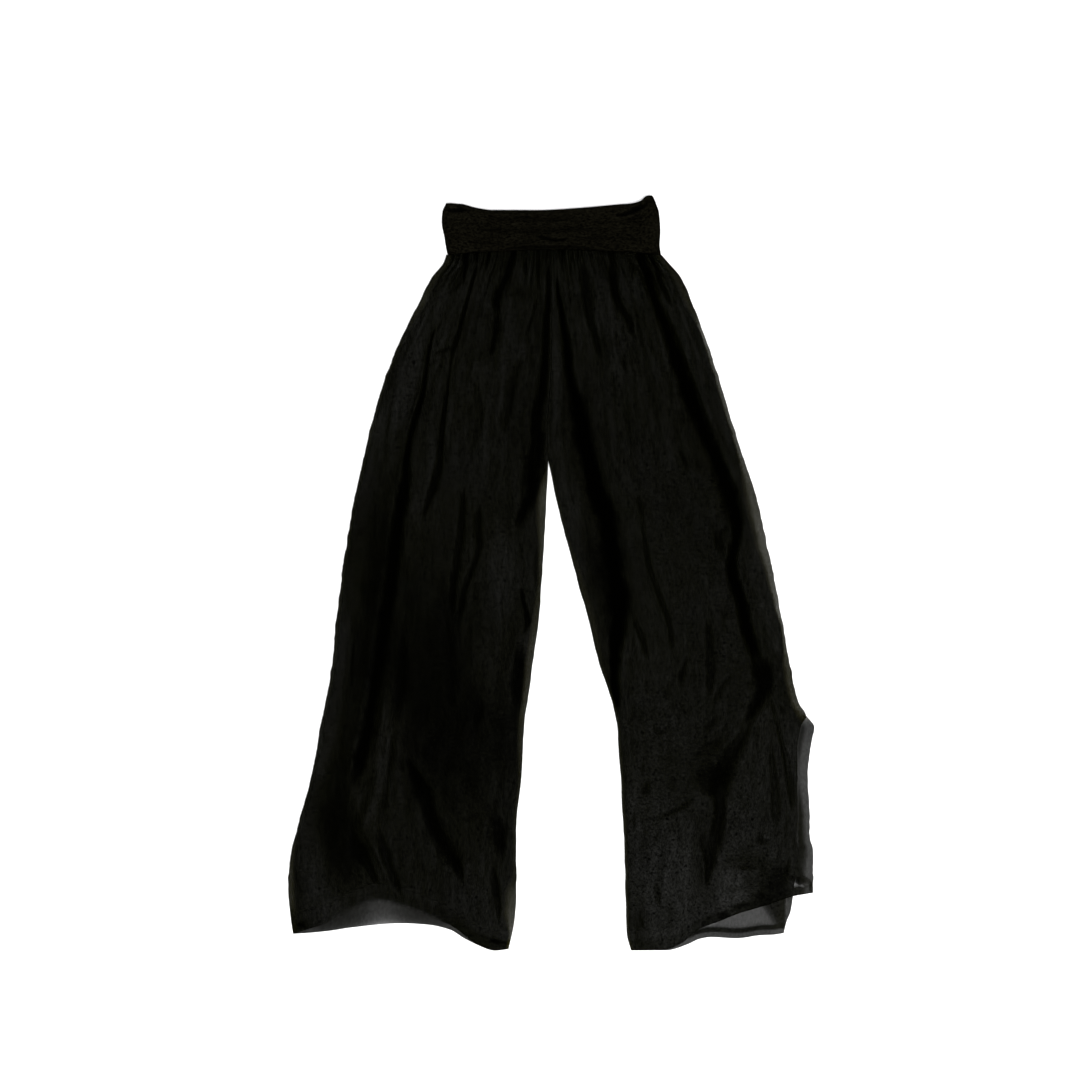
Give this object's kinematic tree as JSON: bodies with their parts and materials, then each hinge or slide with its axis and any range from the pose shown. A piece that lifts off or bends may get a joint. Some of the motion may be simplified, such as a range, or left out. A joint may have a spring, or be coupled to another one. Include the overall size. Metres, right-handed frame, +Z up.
{
  "type": "palazzo pants",
  "caption": "Wide-leg black palazzo trousers of gathered sheer cloth over a shorter opaque lining, with a wide doubled knit waistband, laid flat with the front facing up.",
  "frame": {"origin": "centre of the laid-out trousers' bounding box, on the surface that they rest on", "axes": "+Z up out of the surface, +Y from the hems towards the waistband, +X to the right as seen from above with the waist at the top"},
  "size_m": [0.762, 1.094, 0.0127],
  "materials": {
    "outer_cloth": "sheer crinkled weave, soft low sheen",
    "lining": "plain opaque weave",
    "waistband": "matt fine jersey knit"
  },
  "bodies": {
    "root": {"front_leg_left": "outer_cloth", "front_leg_right": "outer_cloth", "back_leg_left": "outer_cloth", "back_leg_right": "outer_cloth", "lining_left": "lining", "lining_right": "lining", "waistband_front": "waistband", "waistband_back": "waistband"}
  },
  "joints": []
}
